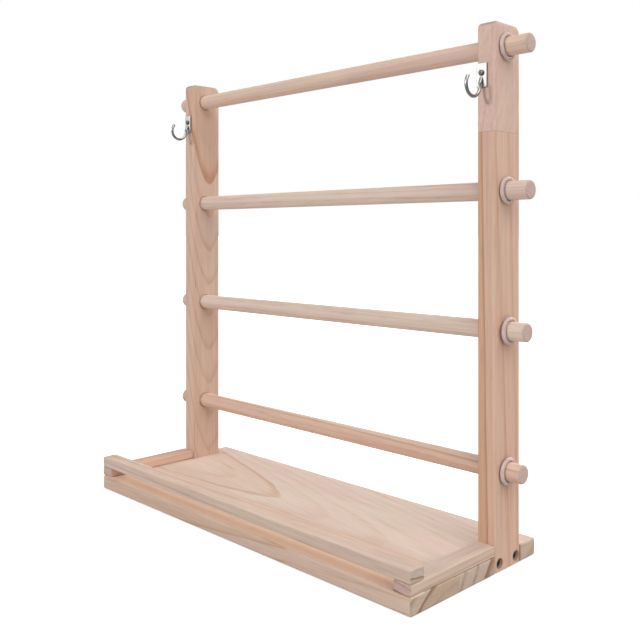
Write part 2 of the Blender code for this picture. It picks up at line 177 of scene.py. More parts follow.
class RackTimber(bpy.types.PropertyGroup):
    early: colour_setting("Early wood", "Colour of the pale part of each growth ring",
                          (0.710, 0.582, 0.490))
    late: colour_setting("Late wood", "Colour of the dark part of each growth ring",
                         (0.540, 0.330, 0.215))
    blush: colour_setting("Blush", "Colour of the pinker patches", (0.700, 0.541, 0.469))
    amber: colour_setting("Amber", "Colour of the yellower patches", (0.697, 0.548, 0.448))
    end_early: colour_setting("End grain", "Colour of the sawn ends between rings",
                              (0.560, 0.455, 0.370))
    end_blush: colour_setting("End blush", "Colour of the pinker patches of the sawn ends",
                              (0.575, 0.440, 0.375))
    end_late: colour_setting("End rings", "Colour of the rings on the sawn ends",
                             (0.300, 0.185, 0.125))
    roughness: FloatProperty(name="Roughness", description="Roughness of the sanded faces",
                             default=0.66, min=0.0, max=1.0, subtype="FACTOR")
    base_edge: length_setting("Base edges", "Rounding of the base board", 0.0020)
    post_edge: length_setting("Post edges", "Rounding of the posts", 0.0026)
    strip_edge: length_setting("Strip edges", "Rounding of the strips", 0.0009)
    sawn_edge: length_setting("Sawn edges", "Rounding left by sandpaper on sawn and drilled edges",
                              0.00025)
    rod_edge: length_setting("Dowel ends", "Rounding of the dowels' ends", 0.0018)


class RackFittings(bpy.types.PropertyGroup):
    rubber: colour_setting("Rubber", "Colour of the rings", (0.590, 0.460, 0.430))
    nickel: colour_setting("Nickel", "Colour of the hooks", (0.500, 0.490, 0.475))
    zinc: colour_setting("Zinc", "Colour of the screws", (0.190, 0.178, 0.165))
    nickel_roughness: FloatProperty(name="Nickel roughness", description="Roughness of the hooks",
                                    default=0.27, min=0.0, max=1.0, subtype="FACTOR")
    wire: length_setting("Hook wire", "Thickness of the hooks' round arm", 0.0028)
    bend: length_setting("Hook bend", "Radius of the hooks' bend at the arm's middle", 0.0096)
    plate: length_setting("Hook plate", "Thickness of the hooks' plates", 0.0014)
    ring_sides: IntProperty(name="Ring steps", description="Steps round each ring", default=72, min=12)


class RackStudio(bpy.types.PropertyGroup):
    floor: colour_setting("Floor", "Colour of the floor", (0.93, 0.93, 0.93))
    sky: FloatProperty(name="Sky", description="Strength of the even light", default=0.12, min=0.0)
    key: FloatProperty(name="Key", description="Strength of the light from the left",
                       default=1.15, min=0.0)
    fill: FloatProperty(name="Fill", description="Strength of the light from the right",
                        default=1.40, min=0.0)
    top: FloatProperty(name="Top", description="Strength of the light from above",
                       default=1.4, min=0.0)
    rear: FloatProperty(name="Rear", description="Strength of the low light from behind",
                        default=1.8, min=0.0)
    lens: FloatProperty(name="Lens", description="Focal length of the camera", default=46.33, min=1.0,
                        unit="CAMERA")
    camera: FloatVectorProperty(name="Camera", description="Place of the camera", size=3,
                                subtype="TRANSLATION", unit="LENGTH",
                                default=(0.59936, -0.55606, 0.28181))
    turn: FloatProperty(name="Turn", description="Heading of the camera", subtype="ANGLE",
                        default=math.radians(45.2578))
    shift: FloatVectorProperty(name="Shift", description="Shift of the picture in the camera", size=2,
                               default=(-0.0022, -0.1357))


# ---- mesh helpers --------------------------------------------------------------------------------

def add_block(work, low, high):
    """A box between two corners."""
    low, high = Vector(low), Vector(high)
    verts = bmesh.ops.create_cube(work, size=1.0)["verts"]
    bmesh.ops.scale(work, vec=high - low, verts=verts)
    bmesh.ops.translate(work, vec=(low + high) / 2, verts=verts)
    return verts


def round_edges(work, chosen, radius, segments):
    edges = [edge for edge in work.edges if chosen(edge)]
    bmesh.ops.bevel(work, geom=edges, offset=radius, offset_type="OFFSET", segments=segments,
                    profile=0.5, affect="EDGES", material=-1, clamp_overlap=True)


def is_crease(edge):
    return len(edge.link_faces) == 2 and edge.calc_face_angle(0.0) > math.radians(40)


def add_turned(work, profile, steps, place):
    """Spins a profile of (radius, height) points about +Z, then stands it at a place."""
    verts = [work.verts.new((radius, 0.0, height)) for radius, height in profile]
    edges = [work.edges.new(pair) for pair in zip(verts, verts[1:])]
    known = set(work.verts)
    bmesh.ops.spin(work, geom=verts + edges, cent=(0, 0, 0), axis=(0, 0, 1), dvec=(0, 0, 0),
                   angle=math.tau, steps=steps, use_merge=True, use_duplicate=False)
    made = [vert for vert in work.verts if vert not in known] + verts
    made = [vert for vert in made if vert.is_valid]
    bmesh.ops.remove_doubles(work, verts=made, dist=1e-7)
    made = [vert for vert in made if vert.is_valid]
    bmesh.ops.transform(work, matrix=place, verts=made)
    bmesh.ops.recalc_face_normals(work, faces=work.faces)
    return made


def facing(direction, place):
    """The matrix that stands a turned piece's +Z along a direction."""
    turn = Vector(direction).to_track_quat("Z", "Y").to_matrix().to_4x4()
    return Matrix.Translation(place) @ turn


def bar_profile(radius, length, end_radius=0.0, segments=6):
    """Outline of a round bar from -length/2 to length/2, top to bottom."""
    half = length / 2
    if end_radius == 0.0:
        return [(0.0, half), (radius, half), (radius, -half), (0.0, -half)]
    top = []
    for i in range(segments + 1):
        angle = math.pi / 2 * i / segments
        top.append((radius - end_radius * (1 - math.sin(angle)),
                    half - end_radius * (1 - math.cos(angle))))
    return [(0.0, half), *top, *[(r, -z) for r, z in reversed(top)], (0.0, -half)]


def loose_object(work, name):
    mesh = bpy.data.meshes.new(name)
    work.to_mesh(mesh)
    obj = bpy.data.objects.new(name, mesh)
    bpy.context.scene.collection.objects.link(obj)
    return obj


def combine(work, tools, operation="DIFFERENCE"):
    """Cuts closed tool shapes out of a solid, or joins them to it."""
    solid = loose_object(work, "solid")
    helpers = []
    for tool in tools:
        helper = loose_object(tool, "tool")
        tool.free()
        helpers.append(helper)
        modifier = solid.modifiers.new("combine", "BOOLEAN")
        modifier.operation = operation
        modifier.solver = "EXACT"
        modifier.object = helper
    bpy.context.view_layer.update()
    result = bpy.data.meshes.new_from_object(solid.evaluated_get(bpy.context.evaluated_depsgraph_get()))
    work.clear()
    work.from_mesh(result)
    for obj in (solid, *helpers):
        mesh = obj.data
        bpy.data.objects.remove(obj)
        bpy.data.meshes.remove(mesh)
    bpy.data.meshes.remove(result)


def bar_tool(radius, length, direction, place, steps=64):
    tool = bmesh.new()
    add_turned(tool, bar_profile(radius, length), steps, facing(direction, place))
    return tool


def put_up(work, name, node, body, material, crease=35.0):
    """Makes a finished piece of a mesh: smooth where it curves, riding on its body, and standing
    for its node of the frame."""
    old = bpy.data.objects.get(name)
    if old is not None:
        bpy.data.objects.remove(old)
    mesh = bpy.data.meshes.new(name)
    work.to_mesh(mesh)
    work.free()
    mesh.materials.append(material)
    mesh.shade_smooth()
    mesh.set_sharp_from_angle(angle=math.radians(crease))
    piece = bpy.data.objects.new(name, mesh)
    bpy.context.scene.collection.objects.link(piece)
    weigh = piece.modifiers.new("even_shading", "WEIGHTED_NORMAL")
    weigh.keep_sharp = True
    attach(piece, body)
    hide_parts(node)
    return piece


def middle_of(node):
    low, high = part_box(node)
    return (low + high) / 2


# ---- shader helpers ------------------------------------------------------------------------------

class Net:
    """Adds nodes to a tree and wires them."""

    def __init__(self, tree):
        self.tree = tree

    def feed(self, socket, value):
        if isinstance(value, bpy.types.NodeSocket):
            self.tree.links.new(value, socket)
        else:
            socket.default_value = value

    def add(self, kind, values=None, **settings):
        node = self.tree.nodes.new("ShaderNode" + kind)
        for name, value in settings.items():
            setattr(node, name, value)
        for socket, value in (values or {}).items():
            self.feed(node.inputs[socket], value)
        return node

    def math(self, operation, *values, clamp=False):
        node = self.add("Math", operation=operation, use_clamp=clamp)
        for socket, value in zip(node.inputs, values):
            self.feed(socket, value)
        return node.outputs[0]

    def stretched(self, vector, scale, seed):
        """The place stretched by a scale in each direction and shifted by a seed."""
        sized = self.add("VectorMath", {0: vector, 1: scale}, operation="MULTIPLY").outputs[0]
        return self.add("VectorMath", {0: sized, 1: seed}, operation="ADD").outputs[0]

    def noise(self, vector, detail=2.0, roughness=0.5):
        node = self.add("TexNoise", {"Vector": vector, "Scale": 1.0, "Detail": detail,
                                     "Roughness": roughness})
        return node.outputs[0]

    def between(self, value, low, high, to_low=0.0, to_high=1.0, smooth=True):
        """Maps a value from one range to another."""
        node = self.add("MapRange", {0: value, 1: low, 2: high, 3: to_low, 4: to_high})
        node.interpolation_type = "SMOOTHSTEP" if smooth else "LINEAR"
        return node.outputs[0]

    def mix(self, share, first, second, blend="MIX"):
        node = self.add("Mix", data_type="RGBA", blend_type=blend)
        self.feed(node.inputs[0], share)
        self.feed(node.inputs[6], first)
        self.feed(node.inputs[7], second)
        return node.outputs[2]


def make_group(name, inputs, outputs):
    """An empty node group with named sockets, and its net, entry and exit."""
    tree = bpy.data.node_groups.new(name, "ShaderNodeTree")
    for socket, kind in inputs:
        tree.interface.new_socket(socket, in_out="INPUT", socket_type="NodeSocket" + kind)
    for socket, kind in outputs:
        tree.interface.new_socket(socket, in_out="OUTPUT", socket_type="NodeSocket" + kind)
    entry = tree.nodes.new("NodeGroupInput")
    leave = tree.nodes.new("NodeGroupOutput")
    return Net(tree), entry.outputs, leave.inputs


def pine_figure():
    """Growth rings, fibres and resin dashes of pine whose grain runs along X and whose pith is the
    X axis. Puts out the colour, the roughness and the height of the surface."""
    known = bpy.data.node_groups.get("pine_figure")
    if known is not None:
        return known
    net, entry, leave = make_group(
        "pine_figure",
        [("Place", "Vector"), ("Seed", "Vector"), ("Taper", "Float"), ("Spacing", "Float"),
         ("Wander", "Float"), ("Phase", "Float"), ("Feature", "Float"), ("Contrast", "Float"),
         ("Roughness", "Float"), ("Early", "Color"), ("Late", "Color"), ("Blush", "Color"),
         ("Amber", "Color")],
        [("Colour", "Color"), ("Roughness", "Float"), ("Height", "Float")])
    place, seed = entry["Place"], entry["Seed"]
    axes = net.add("SeparateXYZ", {0: place}).outputs

    slow = net.noise(net.stretched(place, (2.6, 13.0, 13.0), seed), 1.5)
    ripple = net.noise(net.stretched(place, (14.0, 120.0, 120.0), seed), 2.0)
    across = net.math("SQRT", net.math("ADD", net.math("MULTIPLY", axes[1], axes[1]),
                                       net.math("MULTIPLY", axes[2], axes[2])))
    drift = net.math("MULTIPLY_ADD", axes[0], entry["Taper"], across)
    bent = net.math("MULTIPLY_ADD", net.math("SUBTRACT", slow, 0.5), entry["Wander"], drift)
    bent = net.math("MULTIPLY_ADD", net.math("SUBTRACT", ripple, 0.5), 0.0014, bent)
    count = net.math("ADD", net.math("DIVIDE", bent, entry["Spacing"]), entry["Phase"])
    ring = net.math("FLOOR", count)
    part = net.math("FRACT", count)
    power = net.add("TexWhiteNoise", {"W": net.math("ADD", ring, entry["Phase"])},
                    noise_dimensions="1D").outputs[0]
    # each ring darkens at its own place and then stops short, the way late wood does
    rise = net.between(part, net.math("MULTIPLY_ADD", power, 0.45, 0.25), 0.95)
    fall = net.between(part, 0.95, 1.0, 1.0, 0.0)
    stands_out = net.math("COMPARE", ring, entry["Feature"], 0.5)
    strength = net.math("MAXIMUM", net.between(power, 0.0, 1.0, 0.10, 0.50, smooth=False), stands_out)
    faint = net.noise(net.stretched(place, (9.0, 45.0, 45.0), seed), 2.0)
    fade = net.between(faint, 0.30, 0.60, 0.55, 1.0)
    late = net.math("MULTIPLY", net.math("MULTIPLY", net.math("MULTIPLY", rise, fall), strength), fade)

    blush = net.between(net.noise(net.stretched(place, (6.0, 42.0, 42.0), seed), 2.0), 0.38, 0.62)
    clouds = net.noise(net.stretched(place, (4.0, 26.0, 26.0), (41.0, 7.0, 3.0)), 2.0)
    amber = net.between(clouds, 0.42, 0.68)
    fibre = net.noise(net.stretched(place, (26.0, 1150.0, 1150.0), seed), 3.0, 0.6)
    streak = net.noise(net.stretched(place, (9.0, 330.0, 330.0), seed), 2.0, 0.6)
    vein = net.between(net.noise(net.stretched(place, (8.0, 620.0, 620.0), seed), 2.0), 0.54, 0.66)
    dash = net.between(net.noise(net.stretched(place, (38.0, 900.0, 900.0), seed), 1.0), 0.60, 0.70)

    colour = net.mix(blush, entry["Early"], entry["Blush"])
    colour = net.mix(net.math("MULTIPLY", amber, 0.55), colour, entry["Amber"])
    # the wood inside the ring that stands out is darker too, most of all beside that ring
    edge = net.math("SUBTRACT", count, entry["Feature"])
    patch = net.math("MULTIPLY", net.between(edge, -2.2, 0.9), net.math("LESS_THAN", edge, 1.0))
    darker = net.mix(1.0, entry["Amber"], (0.93, 0.86, 0.80, 1.0), "MULTIPLY")
    share = net.math("MULTIPLY", entry["Contrast"], 0.75, clamp=True)
    colour = net.mix(net.math("MULTIPLY", patch, share), colour, darker)
    rings = net.math("MULTIPLY", late, entry["Contrast"], clamp=True)
    colour = net.mix(rings, colour, entry["Late"])
    plain = net.math("MINIMUM", entry["Contrast"], 0.75)
    veins = net.math("MULTIPLY", vein, net.math("MULTIPLY", plain, 0.36))
    colour = net.mix(veins, colour, entry["Late"])
    dashes = net.math("MULTIPLY", dash, net.math("MULTIPLY_ADD", late, 0.40, 0.13))
    colour = net.mix(dashes, colour, RESIN)
    shade = net.math("MULTIPLY", net.between(fibre, 0.2, 0.8, 0.93, 1.06, smooth=False),
                     net.between(streak, 0.25, 0.75, 0.94, 1.06, smooth=False))
    grey = net.add("CombineColor", {0: shade, 1: shade, 2: shade}).outputs[0]
    net.feed(leave["Colour"], net.mix(1.0, colour, grey, "MULTIPLY"))

    rough = net.math("MULTIPLY_ADD", net.math("SUBTRACT", fibre, 0.5), 0.18, entry["Roughness"])
    net.feed(leave["Roughness"], net.math("MULTIPLY_ADD", late, -0.08, rough))
    height = net.math("MULTIPLY_ADD", late, 0.35, net.math("MULTIPLY", fibre, 0.65))
    net.feed(leave["Height"], net.math("MULTIPLY_ADD", dash, -0.4, height))
    return net.tree


def new_material(name):
    old = bpy.data.materials.get(name)
    if old is not None:
        bpy.data.materials.remove(old)
    material = bpy.data.materials.new(name)
    material.use_nodes = True
    net = Net(material.node_tree)
    return material, net, material.node_tree.nodes["Principled BSDF"].inputs


def tinted(colour, tint):
    return (colour[0] * tint[0], colour[1] * tint[1], colour[2] * tint[2], 1.0)


def add_figure(net, stock, timber, ends=False):
    """The pine figure of one piece of timber, set on that timber's own grain and pith."""
    turn = Vector(stock.grain).rotation_difference(Vector((1, 0, 0)))
    shift = -(turn.to_matrix() @ Vector(stock.pith))
    place = net.add("Mapping", {"Vector": net.add("TexCoord").outputs["Object"],
                                "Rotation": turn.to_euler(), "Location": shift})
    early, late = (timber.end_early, timber.end_late) if ends else (timber.early, timber.late)
    blush, amber = (timber.end_blush, timber.end_early) if ends else (timber.blush, timber.amber)
    group = net.add("Group", node_tree=pine_figure())
    values = {"Place": place.outputs[0], "Seed": (stock.seed, stock.seed * 0.37, stock.seed * 0.73),
              "Taper": stock.taper, "Spacing": stock.spacing, "Wander": stock.wander,
              "Phase": stock.phase, "Feature": stock.feature, "Contrast": stock.contrast,
              "Roughness": timber.roughness + (0.1 if ends else 0.0),
              "Early": tinted(early, stock.tint), "Late": tinted(late, stock.tint),
              "Blush": tinted(blush, stock.tint), "Amber": tinted(amber, stock.tint)}
    for socket, value in values.items():
        net.feed(group.inputs[socket], value)
    return {name: group.outputs[name] for name in ("Colour", "Roughness", "Height")}


def blended(net, share, first, second):
    """Two figures mixed by a share."""
    return {name: net.mix(share, first[name], second[name]) for name in first}


def cut_across(net, grain):
    """How squarely the surface cuts across the grain: 0 on a face, 1 on a sawn end."""
    normal = net.add("TexCoord").outputs["Normal"]
    along = net.add("VectorMath", {0: normal, 1: Vector(grain).normalized()}, operation="DOT_PRODUCT")
    return net.between(net.math("ABSOLUTE", along.outputs["Value"]), 0.12, 0.60)


def add_board(net, name, timber):
    """One board's figure, with its sawn ends."""
    face = add_figure(net, STOCKS[name], timber)
    end = add_figure(net, ENDS[name], timber, ends=True)
    return blended(net, cut_across(net, ENDS[name].grain), face, end)


def finish_pine(net, shader, figure):
    net.feed(shader["Base Color"], figure["Colour"])
    net.feed(shader["Roughness"], figure["Roughness"])
    bump = net.add("Bump", {"Height": figure["Height"], "Strength": PINE_BUMP,
                           "Distance": PINE_BUMP_DEPTH})
    net.feed(shader["Normal"], bump.outputs[0])


def pine(name, board, timber):
    """Sanded pine from one piece of timber."""
    material, net, shader = new_material(name)
    finish_pine(net, shader, add_board(net, board, timber))
    return material


def joined_pine(name, first, second, seam, timber, painted_light=None):
    """Pine glued up from two pieces: seam(net, place) gives the distance past the glue line, and the
    last argument, called with (net, place), how much painted bounce light to lay over the colour."""
    material, net, shader = new_material(name)
    place = net.add("SeparateXYZ", {0: net.add("TexCoord").outputs["Object"]}).outputs
    past = seam(net, place)
    side = net.math("GREATER_THAN", past, 0.0)
    figure = blended(net, side, add_board(net, first, timber), add_board(net, second, timber))
    line = net.between(net.math("ABSOLUTE", past), 0.0001, 0.0005, 0.35, 0.0)
    figure["Colour"] = net.mix(line, figure["Colour"], GLUE)
    # painted bounce light: a lighter, warmer colour laid over the masked part of the wood
    if painted_light is not None:
        figure["Colour"] = net.mix(painted_light(net, place), figure["Colour"], PAINTED_BOUNCE_LIGHT)
    finish_pine(net, shader, figure)
    return material


# ---- pieces --------------------------------------------------------------------------------------

def base_seam(net, place):
    return net.math("SUBTRACT", place[1], GLUE_LINE)


def painted_bounce_under_rail(net, place):
    """The top of the base below the front strip, where painted bounce light makes the wood's colour
    lighter and warmer.
    """
    strip_low, strip_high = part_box("front_strip")
    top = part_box("base_board")[1].z
    behind_edge = net.between(place[1], strip_low.y + 0.0008, strip_low.y + 0.0022)
    before_rear = net.between(place[1], strip_high.y, strip_high.y + 0.0015, 1.0, 0.0)
    on_top = net.between(place[2], top - 0.0016, top - 0.0006)
    return net.math("MULTIPLY", net.math("MULTIPLY", behind_edge, before_rear),
                    net.math("MULTIPLY", on_top, 0.8))


def butt_seam(net, place):
    return net.math("SUBTRACT", place[2], POST_JOINT)


def foot_screw_hole(side, which):
    """The counterbore's and the shank hole's tools for a foot screw."""
    low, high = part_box(f"foot_screw_{side}_{which}")
    middle = (low + high) / 2
    head_radius = (high.z - low.z) / 2
    outside = SIDES[side] * CAD_END
    seat = abs(high.x if side == "right" else low.x) - FOOT_HEAD
    bore_length = 2 * (CAD_END - seat + TOUCH)
    tip = min(abs(low.x), abs(high.x))
    direction = (SIDES[side], 0, 0)
    bore = bar_tool(head_radius + HEAD_GAP, bore_length, direction, (outside, middle.y, middle.z), 48)
    shank = bar_tool(FOOT_SHANK + SHANK_GAP, CAD_END + 2 * BEYOND_POINT - tip, direction,
                     (SIDES[side] * (CAD_END + tip) / 2, middle.y, middle.z), 32)
    return [bore, shank]


def make_base(timber):
    low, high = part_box("base_board")
    work = bmesh.new()
    add_block(work, low, high)
    round_edges(work, is_crease, timber.base_edge, 6)
    tools = []
    for side, sign in SIDES.items():
        post_low, post_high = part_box(f"post_{side}")
        inner = (post_low.x if side == "right" else post_high.x) - sign * TOUCH
        outer = sign * (CAD_END + CLEAR)
        tool = bmesh.new()
        add_block(tool, (min(inner, outer), post_low.y - NOTCH_GAPS[0], low.z - CLEAR),
                  (max(inner, outer), post_high.y + NOTCH_GAPS[1], high.z + CLEAR))
        tools.append(tool)
        for which in ("front", "rear"):
            tools.extend(foot_screw_hole(side, which))
    combine(work, tools)
    # the top of the base under the front strip gets painted bounce light
    material = joined_pine("pine_base", "base_front", "base_rear", base_seam, timber, painted_bounce_under_rail)
    put_up(work, "pine_base_board", "base_board", "frame", material)


def make_strip(node, timber):
    work = bmesh.new()
    add_block(work, *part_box(node))
    round_edges(work, is_crease, timber.strip_edge, 4)
    put_up(work, "pine_" + node, node, "frame", pine("pine_" + node, node, timber))


def make_post(side, timber):
    low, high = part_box(f"post_{side}")
    middle = (low + high) / 2
    work = bmesh.new()
    add_block(work, low, high)

    def at_top(edge, sign):
        return all(high.z - v.co.z < NEAR and sign * (v.co.y - middle.y) > 0 for v in edge.verts)

    def above_foot(edge):
        return is_crease(edge) and any(v.co.z - low.z > NEAR for v in edge.verts)

    for sign, rounding, steps in POST_TOPS:
        round_edges(work, lambda e: at_top(e, sign), rounding, steps)
    round_edges(work, above_foot, timber.post_edge, 6)
    tools = []
    for number in RODS:
        rod = middle_of(f"rod_{number}")
        rod_low, rod_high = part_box(f"rod_{number}")
        radius = (rod_high.z - rod_low.z) / 2 + ROD_GAP
        tools.append(bar_tool(radius, (high.x - low.x) * 1.5, (1, 0, 0), (middle.x, rod.y, rod.z)))
    for which in ("front", "rear"):
        tools.extend(foot_screw_hole(side, which))
    screw = middle_of(f"hook_screw_{side}")
    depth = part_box(f"hook_screw_{side}")[1].y - low.y + BEYOND_POINT
    tools.append(bar_tool(HOOK_SHANK + SHANK_GAP, 2 * depth, (0, 1, 0), (screw.x, low.y, screw.z), 24))
    combine(work, tools)

    def is_rim(edge):
        on_face = any(all(abs(v.co.x - x) < NEAR for v in edge.verts) for x in (low.x, high.x))
        return on_face and is_crease(edge) and edge.calc_length() < SHORT_EDGE

    round_edges(work, is_rim, timber.sawn_edge, 2)
    if side == "left":
        material = pine("pine_post_left", "post_left", timber)
    else:
        material = joined_pine("pine_post_right", "post_right_low", "post_right_top", butt_seam, timber)
    put_up(work, f"pine_post_{side}", f"post_{side}", "frame", material)


def make_rod(number, timber):
    low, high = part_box(f"rod_{number}")
    middle = (low + high) / 2
    radius = (high.z - low.z) / 2
    work = bmesh.new()
    profile = bar_profile(radius, high.x - low.x, timber.rod_edge)
    add_turned(work, profile, 96, facing((1, 0, 0), middle))
    put_up(work, f"dowel_{number}", f"rod_{number}", f"rod_{number}",
           pine(f"pine_dowel_{number}", f"rod_{number}", timber))


def rubber(fittings):
    """Soft rubber with a faint bloom of dust."""
    material, net, shader = new_material("ring_rubber_bloom")
    place = net.add("TexCoord").outputs["Object"]
    bloom = net.noise(net.stretched(place, (260.0, 260.0, 260.0), (1.0, 2.0, 3.0)), 3.0)
    speck = net.noise(net.stretched(place, (1800.0, 1800.0, 1800.0), (5.0, 2.0, 3.0)), 2.0)
    base = (*fittings.rubber, 1.0)
    pale = tuple(min(1.0, c * 1.14) for c in fittings.rubber) + (1.0,)
    net.feed(shader["Base Color"], net.mix(net.between(bloom, 0.35, 0.65), base, pale))
    net.feed(shader["Roughness"], net.between(bloom, 0.3, 0.7, 0.52, 0.66))
    shader["Specular IOR Level"].default_value = 0.3
    bump = net.add("Bump", {"Height": speck, "Strength": 0.2, "Distance": 0.0001})
    net.feed(shader["Normal"], bump.outputs[0])
    return material


def make_ring(side, number, fittings, material):
    """A rubber ring of round section."""
    node = f"ring_{side}_{number}"
    low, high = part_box(node)
    middle = (low + high) / 2
    section = (high.x - low.x) / 2
    outer = (high.z - low.z) / 2
    work = bmesh.new()
    made = bmesh.ops.create_circle(work, cap_ends=False, segments=20, radius=section)
    verts = made["verts"]
    bmesh.ops.transform(work, matrix=Matrix.Rotation(math.pi / 2, 4, "X"), verts=verts)
    bmesh.ops.translate(work, vec=(outer - section, 0, 0), verts=verts)
    bmesh.ops.spin(work, geom=verts + list(work.edges), cent=(0, 0, 0), axis=(0, 0, 1),
                   dvec=(0, 0, 0), angle=math.tau, steps=fittings.ring_sides, use_merge=True,
                   use_duplicate=False)
    bmesh.ops.remove_doubles(work, verts=work.verts, dist=1e-7)
    bmesh.ops.transform(work, matrix=facing((1, 0, 0), middle), verts=work.verts)
    bmesh.ops.recalc_face_normals(work, faces=work.faces)
    put_up(work, f"rubber_ring_{side}_{number}", node, f"ring_{side}_{number}", material)


def plated(name, colour, roughness, scratch):
    """Plated steel with faint polishing marks and duller patches."""
    material, net, shader = new_material(name)
    place = net.add("TexCoord").outputs["Object"]
    cloud = net.noise(net.stretched(place, (240.0, 240.0, 160.0), (2.0, 5.0, 9.0)), 3.0)
    marks = net.noise(net.stretched(place, (2600.0, 2600.0, 300.0), (4.0, 1.0, 6.0)), 3.0, 0.65)
    dull = tuple(c * 0.80 for c in colour) + (1.0,)
    net.feed(shader["Base Color"], net.mix(net.between(cloud, 0.45, 0.75), (*colour, 1.0), dull))
    rough = net.between(cloud, 0.3, 0.75, roughness, roughness + 0.12)
    net.feed(shader["Roughness"], net.math("MULTIPLY_ADD", marks, scratch, rough))
    shader["Metallic"].default_value = 1.0
    bump = net.add("Bump", {"Height": marks, "Strength": 0.12, "Distance": 0.00005})
    net.feed(shader["Normal"], bump.outputs[0])
    return material


def sweep(work, route, radius, sides):
    """Pushes a round section along a route of (point, share of the radius)."""
    points = [Vector(point) for point, share in route]
    shares = [share for point, share in route]
    heads = [(b - a).normalized() for a, b in zip(points, points[1:])]
    heads = [heads[0], *[(a + b).normalized() for a, b in zip(heads, heads[1:])], heads[-1]]
    made = bmesh.ops.create_circle(work, cap_ends=True, segments=sides, radius=radius * shares[0])
    bmesh.ops.transform(work, matrix=facing(heads[0], points[0]), verts=made["verts"])
    cap = made["verts"][0].link_faces[0]
    for i in range(1, len(points)):
        grown = bmesh.ops.extrude_face_region(work, geom=[cap])["geom"]
        cap = next(item for item in grown if isinstance(item, bmesh.types.BMFace))
        verts = list(cap.verts)
        turn = heads[i - 1].rotation_difference(heads[i]).to_matrix()
        size = shares[i] / shares[i - 1]
        bmesh.ops.rotate(work, cent=points[i - 1], matrix=turn, verts=verts)
        bmesh.ops.scale(work, vec=(size, size, size), space=Matrix.Translation(-points[i - 1]),
                        verts=verts)
        bmesh.ops.translate(work, vec=points[i] - points[i - 1], verts=verts)
    bmesh.ops.recalc_face_normals(work, faces=work.faces)


def hook_route(middle_x, plate_face, bend_z, bend, wire):
    """Down the plate, round under the bend and up to a rounded tip."""
    centre = Vector((middle_x, plate_face - HOOK_FORWARD, bend_z))
    route = [(Vector((middle_x, plate_face - forward, bend_z + above)), share)
             for forward, above, share in HOOK_ROOT]
    for i in range(HOOK_STEPS + 1):
        angle = HOOK_START + (HOOK_STOP - HOOK_START) * i / HOOK_STEPS
        route.append((centre + Vector((0, -math.cos(angle), math.sin(angle))) * bend, 1.0))
    ahead = (route[-1][0] - route[-2][0]).normalized() * wire / 2
    tip = route[-1][0]
    for share in TIP_SHARES:
        route.append((tip + ahead * share, math.sqrt(1 - share ** 2)))
    return route


def make_hook(side, fittings, material):
    low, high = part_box(f"hook_{side}")
    screw = middle_of(f"hook_screw_{side}")
    middle_x = (low.x + high.x) / 2
    plate_face = high.y - fittings.plate
    bend_z = low.z + fittings.bend + fittings.wire / 2
    plate_low = high.z - HOOK_PLATE_HEIGHT
    work = bmesh.new()
    add_block(work, (low.x, plate_face, plate_low), high)

    def is_corner(edge):
        return abs(edge.verts[0].co.y - edge.verts[1].co.y) > NEAR

    def is_rim(edge):
        return is_crease(edge) and all(abs(v.co.y - plate_face) < NEAR for v in edge.verts)

    round_edges(work, is_corner, HOOK_CORNER, 5)
    round_edges(work, is_rim, HOOK_RIM, 3)
    arm = bmesh.new()
    sweep(arm, hook_route(middle_x, plate_face, bend_z, fittings.bend, fittings.wire),
          fittings.wire / 2, 24)
    combine(work, [arm], "UNION")
    hole = bar_tool(HOOK_SHANK + SHANK_GAP, 0.01, (0, 1, 0), (screw.x, plate_face, screw.z), 32)
    combine(work, [hole])
    put_up(work, f"nickel_hook_{side}", f"hook_{side}", "frame", material, crease=40.0)


def add_cross(radius, head, stand):
    """Tools for a cross recess: two tapered wings."""
    tools = []
    for wide in ((1, 0), (0, 1)):
        tool = bmesh.new()
        reach, width, depth = radius * RECESS_REACH, radius * RECESS_WIDTH, head * RECESS_DEPTH
        size = (reach if wide[0] else width, width if wide[0] else reach, depth)
        add_block(tool, [-s / 2 for s in size], [s / 2 for s in size])
        lower = [v for v in tool.verts if v.co.z < 0]
        bmesh.ops.scale(tool, vec=(RECESS_TAPER, RECESS_TAPER, 1.0), verts=lower)
        place = stand @ Matrix.Translation((0, 0, head - depth / 2 + 0.0002))
        bmesh.ops.transform(tool, matrix=place, verts=tool.verts)
        tools.append(tool)
    return tools


def make_screw(node, direction, head, shank, material):
    """A round-headed screw with a domed head and a cross recess."""
    low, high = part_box(node)
    middle = (low + high) / 2
    direction = Vector(direction)
    axis = max(range(3), key=lambda i: abs(direction[i]))
    radius = (high.z - low.z) / 2
    length = high[axis] - low[axis] - head
    face = high[axis] if direction[axis] > 0 else low[axis]
    seat = Vector(middle)
    seat[axis] = face - direction[axis] * head
    dome = head * DOME
    steps = 6
    profile = [(0.0, head)]
    for i in range(1, steps + 1):
        angle = math.pi / 2 * i / steps
        profile.append((radius * CROWN * math.sin(angle), head - dome * (1 - math.cos(angle))))
    profile += [(radius, head - dome - head * RIM), (radius, head * RIM_FOOT), (radius * CROWN, 0.0),
                (shank, 0.0), (shank, shank * POINT_LENGTH - length),
                (shank * POINT_WIDTH, -length), (0.0, -length)]
    stand = facing(direction, seat)
    work = bmesh.new()
    add_turned(work, profile, 48, stand)
    combine(work, add_cross(radius, head, stand))
    put_up(work, "steel_" + node, node, "frame", material, crease=40.0)


# ---- operators -----------------------------------------------------------------------------------

class RackOperator:
    bl_options = {"REGISTER", "UNDO"}


class RACK_OT_base(RackOperator, bpy.types.Operator):
    """Make the base board, glued up from two staves and notched for the posts"""
    bl_idname = "rack.base"
    bl_label = "Base board"

    def execute(self, context):
        make_base(context.scene.rack_timber)
        return {"FINISHED"}


class RACK_OT_strips(RackOperator, bpy.types.Operator):
    """Make the front strip and the two side strips of the tray"""
    bl_idname = "rack.strips"
    bl_label = "Strips"

    def execute(self, context):
        timber = context.scene.rack_timber
        for node in ("front_strip", "side_strip_left", "side_strip_right"):
            make_strip(node, timber)
        return {"FINISHED"}


